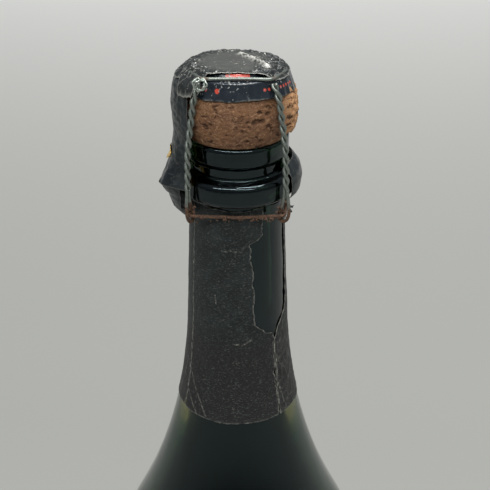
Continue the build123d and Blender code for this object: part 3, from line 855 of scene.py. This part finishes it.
def foil_paint(name, dark, light, low_painted_shade, roughness, metallic, fine_lines, speck_amount):
    """Lacquered foil: two close shades in clouds, a flat, slightly darker painted shade low on the
    shoulder, fine level lines whose raised parts get a painted highlight, or crinkles, chipped
    specks, and bare aluminium where the mesh's own field says that the lacquer is off."""
    made, tree, shader = material(name, {"Metallic": metallic, "Specular IOR Level": 0.4})
    spot = where(tree)
    cloud = noise(tree, spot, 4 * mm, detail=4.0)
    shade = mixed(tree, between(tree, cloud, 0.38, 0.66), dark, light)
    z = place(tree, "SeparateXYZ", {"Vector": spot}).outputs["Z"]
    # Painted shade: below the neck's foot the foil takes a flat, slightly darker colour.
    low = between(tree, z, lip_z - 55 * mm, lip_z - 63 * mm)
    shade = mixed(tree, low, shade, low_painted_shade)
    chips = place(tree, "Group", {"Vector": spot, "Scale": 1700.0, "Amount": speck_amount}, node_tree=specks)
    shade = mixed(tree, chips.outputs["Mask"], shade, (0.12, 0.12, 0.105, 1))
    broken = between(tree, noise(tree, spot, 0.55 * mm, detail=3.0), 0.34, 0.52)
    bare = joined(tree, "MULTIPLY", field(tree, "bare"), broken)
    shade = mixed(tree, bare, shade, (0.46, 0.455, 0.4, 1))
    tree.links.new(shade, shader.inputs["Base Color"])
    rough = joined(tree, "MULTIPLY_ADD", cloud, 0.25, roughness)
    tree.links.new(rough, shader.inputs["Roughness"])
    if fine_lines:
        lines = noise(tree, stretched(tree, spot, (1, 1, 2.2)), 0.75 * mm, detail=4.0, roughness=0.65)
        # Painted highlight: the raised parts of the level lines are painted lighter.
        line_highlight = mixed(tree, between(tree, lines, 0.54, 0.7), shade, (0.1, 0.112, 0.105, 1))
        tree.links.new(line_highlight, shader.inputs["Base Color"])
        bump(tree, shader, lines, 0.4 * mm, 1.0)
    else:
        folds = place(tree, "Group", {"Vector": spot, "Scale": 260.0}, node_tree=crinkle)
        height = joined(tree, "ADD", folds.outputs["Height"], noise(tree, spot, 0.7 * mm))
        bump(tree, shader, height, 0.14 * mm, 0.5)
    return made


neck_paint = foil_paint(
    "neck_foil", (0.0075, 0.0115, 0.0115, 1), (0.021, 0.028, 0.028, 1), (0.012, 0.0125, 0.012, 1),
    roughness=0.36, metallic=0.15, fine_lines=True, speck_amount=0.42,
)
front_start = [(0, seam_azimuth + seam_half_deg), (90, seam_azimuth + seam_half_deg)]
back_stop = [(0, 360 + seam_azimuth - seam_half_deg), (90, 360 + seam_azimuth - seam_half_deg)]
front_creases = [
    ([(-60.7, 72), (-52, 77), (-40, 82), (-31, 86.6)], 0.9),
    ([(-60.7, 80), (-50, 84), (-42, 86.8)], 0.7),
    ([(-4, 60.5), (6, 60.8), (16, 59.4)], 0.9),
    ([(-18, 31), (-8, 30.4), (4, 30.8), (10, 28.6)], 0.55),
    ([(14, 23), (17, 20.5), (15, 18.5)], 0.5),
    ([(-26, 45), (-25, 48)], 0.8),
    ([(19, 46), (20, 52)], 0.6),
]
back_creases = [
    ([(45, 62), (47, 70), (46, 76), (52, 84)], 0.9),
    ([(58, 47), (64, 52), (60, 60)], 0.5),
    ([(120, 30), (135, 52), (150, 70)], 0.4),
    ([(230, 24), (226, 50), (240, 80)], 0.45),
    ([(293, 70), (286, 80), (280, 86)], 0.6),
]
front_foil = neck_foil("neck_foil_front_sheet", front_start, tear_left_deg, front_creases, 20)
back_foil = neck_foil("neck_foil_back_sheet", tear_right_deg, back_stop, back_creases, 40)
fitted(thickened(front_foil, foil_thickness), "bottle", "neck_foil", neck_paint, "neck_foil_front")
fitted(thickened(back_foil, foil_thickness), "bottle", "neck_foil", neck_paint, "neck_foil_back")


# Foil over the ring
# At the right a smooth tongue of foil still lies over the lip and the ring. At
# the left a flap is tucked in under the flared edge of the hood.

band_spacing = 0.28 * mm
band_r = 17 * mm
band_outer_r = 18 * mm

hood_paint = foil_paint(
    "hood_foil", (0.018, 0.023, 0.026, 1), (0.045, 0.054, 0.058, 1), (0.04, 0.045, 0.05, 1),
    roughness=0.22, metallic=0.35, fine_lines=False, speck_amount=0.42,
)


def outline(*places):
    """Places on a section, each given as its radius and its height over the lip in millimetres."""
    return [(radius * mm, lip_z + height * mm) for radius, height in places]


def foil_band(name, stations, start, stop, swell, seed, fold_height):
    """A sheet down through stations of radius and height, turned between two azimuths. swell
    gives each column's share of the way from a close-lying to a flared profile."""
    close, flared = (resampled(line, band_spacing) for line in stations)
    rows = max(len(close), len(flared))
    share = np.linspace(0, 1, rows)
    shapes = []
    for line in (close, flared):
        own = np.linspace(0, 1, len(line))
        shapes.append(np.stack([np.interp(share, own, line[:, axis]) for axis in (0, 1)], -1))
    columns = int(abs(np.radians(stop - start)) * band_outer_r / band_spacing)
    across = np.linspace(0, 1, columns)[None, :]
    part = swell(across)
    radius = shapes[0][:, :1] * (1 - part) + shapes[1][:, :1] * part
    z = shapes[0][:, 1:] * (1 - part) + shapes[1][:, 1:] * part
    run = across * np.radians(abs(stop - start)) * band_r
    down = share[:, None] * rows * band_spacing
    lean = torn(down[:, 0], 0.5 * mm, seed)[:, None]
    azimuth = start + (stop - start) * across
    edge_lean = lean * (1 - across) + torn(down[:, 0], 0.5 * mm, seed + 1)[:, None] * across
    azimuth = azimuth + np.degrees(edge_lean / band_r) * (abs(across - 0.5) * 2) ** 4
    folds = 1 - np.abs(waves(run, down, [7 * mm, 3.6 * mm, 2 * mm], seed + 2))
    sharp = fold_height * np.clip(folds, -1, 1) * (0.35 + 0.65 * part)
    near = np.minimum(np.minimum(across, 1 - across) * run.max(), np.minimum(down, down.max() - down))
    bare = np.exp(-((near / (0.12 * mm)) ** 2)) * 0.3
    bare = np.maximum(bare, 0.35 * np.clip(folds * 5 - 4.3, 0, 1) * part)
    points = settled(polar(radius + sharp, azimuth, z))
    made = piece(name, [points], wrap=False, close=False, bare=np.clip(bare, 0, 1))
    if stop < start:
        made.data.flip_normals()
    return made


def ring_foil_swell(across):
    """Close at both ends and wide between: the sine of the way across, to a power under one."""
    return np.sin(np.pi * across) ** 0.7


ring_close = outline((15.2, -7.2), (15.9, -8.8), (17.2, -10.2), (17.4, -13), (17.1, -16.3), (14.8, -18.7))
ring_wide = outline((15.3, -7.0), (16.4, -8.2), (17.5, -10.0), (18.1, -12.6), (17.6, -16.2), (15.4, -18.9))
ring_tongue = foil_band("ring_foil_tongue", (ring_close, ring_wide), 60, 122, ring_foil_swell, 60, 0.07 * mm)
fitted(thickened(ring_tongue, foil_thickness), "bottle", "hood_foil", hood_paint, "ring_foil_right")


def flare_swell(across):
    """The flare's tip stands out at a fifth of the hood's width and dies away towards the rear."""
    return np.interp(across, [0, 0.14, 0.28, 0.4, 0.55, 0.78, 1.0], [0.05, 0.45, 1.0, 0.72, 0.5, 0.35, 0.2])


flap_close = outline((18.3, -13.3), (18.2, -17.3), (17.9, -20.5), (14.6, -23.1))
flap_flared = outline((21.9, -13.2), (19.0, -17.4), (18.0, -20.6), (14.7, -23.2))
flap = foil_band("ring_foil_flap", (flap_close, flap_flared), -57, -126, flare_swell, 70, 0.25 * mm)
fitted(thickened(flap, foil_thickness), "bottle", "hood_foil", hood_paint, "ring_foil_left")


# Hood foil
# The part of the capsule left standing round the left of the cork, flared out
# over the ring and torn off there. Its inner side is lacquered gold.

hood_top = ((15.0, 17.6), (16.1, 16.8), (16.9, 15.0))
hood_close = outline(*hood_top, (17.5, 9), (16.95, 0.5), (17.1, -6.5), (18.4, -12.4))
hood_flared = outline(*hood_top, (17.6, 9), (16.95, 0.5), (18.6, -6.5), (22.0, -12.6))
gold_tear_azimuth = -88
gold_tear_deg = 12
gold_tear_depth = 3.6 * mm
hood = foil_band("hood_sheet", (hood_close, hood_flared), -47, -126, flare_swell, 80, 0.28 * mm)


def gold_lacquer():
    """Gold lacquer on the inner side of the foil."""
    made, tree, shader = material("gold_lacquer", {"Metallic": 1.0})
    cloud = noise(tree, where(tree), 1.5 * mm)
    shade = mixed(tree, cloud, (0.9, 0.5, 0.05, 1), (1.0, 0.7, 0.12, 1))
    tree.links.new(shade, shader.inputs["Base Color"])
    tree.links.new(joined(tree, "MULTIPLY_ADD", cloud, 0.3, 0.1), shader.inputs["Roughness"])
    return made


thickened(hood, foil_thickness)
fitted(hood, "cage", "hood_foil", hood_paint, "hood_foil")
hood.data.materials.append(gold_lacquer())
hood.modifiers["thickness"].material_offset = 1


def gold_tear():
    """A narrow tongue of the hood, bent outwards under the cork, so that its gold side shows:
    its radius grows with the square of the way across."""
    across = np.linspace(0, 1, 12)[None, :]
    down = np.linspace(0, 1, 24)[:, None]
    azimuth = gold_tear_azimuth + gold_tear_deg * across * (0.4 + 0.6 * np.sin(np.pi * down))
    radius = (17.95 + 1.15 * down ** 2 + 0.35 * across ** 2) * mm
    points = polar(radius, azimuth, lip_z - gold_tear_depth * (1 + down))
    return piece("hood_tear", [points], wrap=False, close=False)


tear = thickened(gold_tear(), foil_thickness)
fitted(tear, "cage", "hood_foil", hood.data.materials[1])


# Crown foil
# What is left of the capsule's top: a sheet pressed down over the plaque, its
# middle smooth and grey, its rim creased over the wire and torn off in front.

crown_foil_front = 10.5 * mm
crown_drape_r = 18 * mm
crown_fold_height = 0.6 * mm
crown_ridge_height = 0.75 * mm
crown_rows = 90
crown_columns = 420


def crown_sheet():
    """Rings round the middle of the top out to a ragged edge that is straight in front. The
    height falls from the button to the wire and on over the rim, and it is creased most at the
    right and round the rim."""
    azimuth = np.linspace(0, 360, crown_columns, endpoint=False)[None, :]
    turn = np.radians(azimuth)
    toward = np.maximum(np.cos(turn), 1e-3)
    edge_azimuth = [0, 60, 95, 130, 180, 230, 262, 300, 360]
    edge_r = np.array([15, 14.6, 14.3, 13.7, 13.1, 14.6, 16.1, 16.4, 15]) * mm
    reach = np.minimum(np.interp(azimuth, edge_azimuth, edge_r), crown_foil_front / toward)
    corner = np.interp(azimuth, [294, 301, 319, 324], [0, 1, 1, 0])
    reach = reach * (1 - corner) + crown_drape_r * corner
    reach = reach + torn(azimuth[0] * 0.26 * mm, 0.45 * mm, 90)[None, :]
    share = np.linspace(0, 1, crown_rows)[:, None]
    radius = reach * share
    x, y = radius * np.sin(turn), -radius * np.cos(turn)
    flat_z = button_z + 0.35 * mm
    rim_z = crown_wire_z + wire_r + 0.3 * mm
    line_r = np.array([0, 7, 10.2, 12.6, 13.6, 14.6, 16.3, 17.3, 18]) * mm
    over_button = flat_z + np.array([0.2, 0.12, 0]) * mm
    over_rim = rim_z - np.array([0, 0.85, 1.5, 2.5, 3.7, 6]) * mm
    line_z = np.concatenate([over_button, over_rim])
    z = np.interp(radius, line_r, line_z)
    folds = 1 - np.abs(waves(x, y, [6.5 * mm, 3.4 * mm, 1.8 * mm], 91))
    fine = 1 - np.abs(waves(x, y, [2.4 * mm, 1.3 * mm], 92))
    edge = np.clip((radius - 8.5 * mm) / (3 * mm), 0, 1)
    right = np.clip((x - 4.4 * mm) / (1.5 * mm), 0, 1) * np.clip(3.5 - (10 * mm + y) / (4 * mm), 0, 1)
    rough = np.clip(0.12 + edge + right, 0, 1)
    near = reach - radius
    z = z + crown_fold_height * rough * np.clip(folds, -0.3, 1) * np.clip(near / (1.5 * mm), 0.25, 1)
    z = z + 0.12 * mm * rough * fine
    ridge_line = [(1.2 * mm, 6.5 * mm), (4.2 * mm, 2.5 * mm), (7.9 * mm, -5.5 * mm)]
    ridge = near_line(x, y, ridge_line, 0.95 * mm)
    z = z + crown_ridge_height * ridge * (0.7 + 0.3 * fine)
    bare = 0.8 * np.exp(-((near / (0.16 * mm)) ** 2)) + ridge * np.clip(fine * 2.5 - 0.4, 0, 1)
    bare = np.maximum(bare, 0.4 * rough * np.clip(folds * 5 - 4.2, 0, 1))
    points = settled(np.stack([x, y, z], axis=-1))
    return piece(
        "crown_sheet", [points[1:]], close=False, bare=np.clip(bare, 0, 1)[1:], dull=(1 - rough)[1:]
    )


def crown_paint():
    """Lacquer worn to a dull grey in the middle, painted lighter there also as painted light on
    the top, and dark in the creases round it.
    """
    made, tree, shader = material("crown_foil", {"Metallic": 0.35, "Specular IOR Level": 0.4})
    spot = where(tree)
    cloud = noise(tree, spot, 2.2 * mm, detail=5.0)
    dark = mixed(tree, cloud, (0.012, 0.015, 0.015, 1), (0.05, 0.054, 0.053, 1))
    scuffed_and_top_lit = mixed(tree, cloud, (0.075, 0.077, 0.07, 1), (0.12, 0.122, 0.112, 1))
    # The smooth middle gets the lighter grey: partly worn lacquer, partly painted light on the top.
    shade = mixed(tree, field(tree, "dull"), dark, scuffed_and_top_lit)
    chips = place(tree, "Group", {"Vector": spot, "Scale": 1500.0, "Amount": 0.6}, node_tree=specks)
    shade = mixed(tree, chips.outputs["Mask"], shade, (0.4, 0.4, 0.36, 1))
    shade = mixed(tree, field(tree, "bare"), shade, (0.62, 0.61, 0.56, 1))
    tree.links.new(shade, shader.inputs["Base Color"])
    rough = joined(tree, "MULTIPLY_ADD", field(tree, "dull"), 0.3, 0.36)
    tree.links.new(rough, shader.inputs["Roughness"])
    folds = place(tree, "Group", {"Vector": spot, "Scale": 420.0}, node_tree=crinkle)
    height = joined(tree, "ADD", folds.outputs["Height"], noise(tree, spot, 0.5 * mm))
    bump(tree, shader, height, 0.14 * mm, 0.55)
    return made


crown = thickened(crown_sheet(), foil_thickness)
fitted(crown, "cage", "hood_foil", crown_paint(), "crown_foil")


# Knot and crumbs
# A twist of bare wire lies on the cap's left corner, its zinc painted lighter still as a
# painted glint. Rust has flaked off the belt and clings to it, and a crumb of foil is stuck
# in the right eyelet.

lip_centre = np.array([0, 0, lip_z])
knot_centre = np.array([-9.3, -14.6, 18.3]) * mm + lip_centre
knot_wire_r = 0.24 * mm


def knot_path(size, seed):
    """A ring seen from the front that wanders in and out: its radius and its depth each follow
    two sines of the turn."""
    random = np.random.default_rng(seed)
    phase = random.uniform(0, 2 * np.pi, 4)
    turn = np.linspace(0, 2 * np.pi, 90)
    radius = size * (1 + 0.14 * np.sin(3 * turn + phase[0]) + 0.08 * np.sin(7 * turn + phase[1]))
    depth = size * (0.25 * np.sin(2 * turn + phase[2]) + 0.1 * np.sin(5 * turn + phase[3]))
    ring = np.stack([radius * np.cos(turn), depth, radius * np.sin(turn)], axis=-1)
    return knot_centre + ring


knots = [tube(knot_path(size, seed), knot_wire_r, 8, np.array([0, 1.0, 0]))
         for size, seed in ((1.65 * mm, 3), (1.25 * mm, 4))]
knot = welded(piece("cap_knot", knots, close=False))
# The knot's zinc is lightened 1.9 times: partly its bare wire, partly a painted glint.
fitted(knot, "cage", "cage_wire", wire_metal("bare_wire_painted_glint", 0.1, by_place=False, bright=1.9))


def crumbs(name, centres, sizes, seed):
    """Closed lumps: each is a ball whose radius is raised and lowered by random waves over it."""
    turns = np.linspace(0, 2 * np.pi, 12, endpoint=False)
    across, down = np.meshgrid(turns, np.linspace(0.02, np.pi - 0.02, 9))
    ball = np.stack([np.sin(down) * np.cos(across), np.sin(down) * np.sin(across), np.cos(down)], -1)
    random = np.random.default_rng(seed)
    grids = []
    for centre, size in zip(centres, sizes):
        shift = random.uniform(0, 9, 2)
        rough = waves(ball[..., 0] + shift[0], ball[..., 1] + ball[..., 2] + shift[1], [1.6, 0.8], seed)
        stretch = random.uniform(0.6, 1.4, 3)
        grids.append(centre + ball * stretch * size * (1 + 0.45 * rough)[..., None])
    return welded(piece(name, grids))


belt_crumbs = 26
left_crumbs = 12
right_crumbs = 16
eyelet_x = 11.9


def rust_crumb_places():
    """Crumbs along the front run of the belt and thicker round the two front eyelets."""
    random = np.random.default_rng(15)
    x_belt = random.uniform(-10, 10, belt_crumbs)
    x_left = random.normal(-eyelet_x, 0.7, left_crumbs)
    x_right = random.normal(eyelet_x, 0.7, right_crumbs)
    x = np.r_[x_belt, x_left, x_right]
    y = np.r_[np.full(belt_crumbs, -14.45), np.full(left_crumbs + right_crumbs, -12.6)]
    y = y + np.where(np.abs(x) > 11, (np.abs(x) - eyelet_x) * 0.9, 0) - 0.1
    z_belt = random.normal(-20.1, 0.35, belt_crumbs)
    z_left = random.uniform(-22, -16.5, left_crumbs)
    z_right = random.uniform(-22, -15.5, right_crumbs)
    z = np.r_[z_belt, z_left, z_right]
    return np.stack([x, y, z], axis=-1) * mm + lip_centre


rust_places = rust_crumb_places()
rust_sizes = np.random.default_rng(16).uniform(0.18, 0.42, len(rust_places)) * mm
rust_flakes = crumbs("rust_crumbs", rust_places, rust_sizes, 17)
fitted(rust_flakes, "cage", "rusty_wire", belt_metal)

foil_places = np.array([[14.2, -11.4, -18.4], [14.9, -11.0, -18.0], [14.4, -11.2, -19.2]]) * mm
foil_crumb = crumbs("foil_crumb", foil_places + lip_centre, np.array([0.55, 0.42, 0.4]) * mm, 18)
fitted(foil_crumb, "cage", "hood_foil", hood_paint)


# Floor, light and camera
# A pale table that runs back out of sight, a wide soft lamp overhead, a long
# narrow one in front and a dimmer room all round. The camera looks down at the
# neck, as in the photograph.


def table_top():
    """Pale matt table, painted lighter further back: a painted fall of the room's light on it."""
    made, tree, shader = material("table_top", {"Roughness": 0.9, "Specular IOR Level": 0.1})
    spot = where(tree)
    y = place(tree, "SeparateXYZ", {"Vector": spot}).outputs["Y"]
    back = joined(tree, "POWER", between(tree, y, 0.2, 1.15), 2.0)
    # Painted light: the colour goes from darker in front to lighter at the back.
    shade = mixed(tree, back, (0.38, 0.38, 0.355, 1), (0.93, 0.92, 0.88, 1))
    tree.links.new(shade, shader.inputs["Base Color"])
    return made


table_half = 4.0
corner = np.array([[[-1, 1, 0], [1, 1, 0]], [[-1, -1, 0], [1, -1, 0]]]) * table_half
table = piece("table", [corner[::-1].astype(float)], wrap=False, close=False)
table.data.materials.append(table_top())


def area_lamp(name, place_at, size, watts, aim):
    """Rectangular lamp at a place, turned to face what it lights."""
    light = bpy.data.lights.new(name, "AREA")
    light.shape = "RECTANGLE"
    light.size, light.size_y = size
    light.energy = watts
    lamp = bpy.data.objects.new(name, light)
    lamp.location = place_at
    lamp.rotation_euler = (aim - lamp.location).to_track_quat("-Z", "Y").to_euler()
    bpy.context.scene.collection.objects.link(lamp)


neck_centre = Vector((0, 0, lip_z))
area_lamp("ceiling_lamp", (0.3, 0.1, 1.75), (0.7, 0.7), 21, neck_centre)
area_lamp("front_lamp", (-0.1, -0.75, 1.25), (1.5, 0.16), 10, neck_centre)

world = bpy.data.worlds.new("room")
world.use_nodes = True
room = world.node_tree
background = room.nodes["Background"]
direction = place(room, "TexCoord", {}).outputs["Generated"]
up = place(room, "SeparateXYZ", {"Vector": direction}).outputs["Z"]
sky = mixed(room, between(room, up, -0.1, 0.9), (0.13, 0.142, 0.147, 1), (0.34, 0.355, 0.365, 1))
room.links.new(sky, background.inputs["Color"])
background.inputs["Strength"].default_value = 1.0
bpy.context.scene.world = world

image_width = 490
sensor_width = 36.0
focal_pixels = 1072.1
camera_back = 0.2694
camera_height = 0.1152
camera_pitch = 29.32
axis_shift_pixels = 9.0

view = bpy.data.cameras.new("camera")
view.sensor_width = sensor_width
view.lens = sensor_width * focal_pixels / image_width
camera = bpy.data.objects.new("camera", view)
camera.location = (0, -camera_back, lip_z + camera_height)
yaw = -np.arctan(axis_shift_pixels / focal_pixels)
camera.rotation_euler = (np.radians(90 - camera_pitch), 0, yaw)
bpy.context.scene.collection.objects.link(camera)
bpy.context.scene.camera = camera
bpy.context.scene.view_settings.view_transform = "Standard"
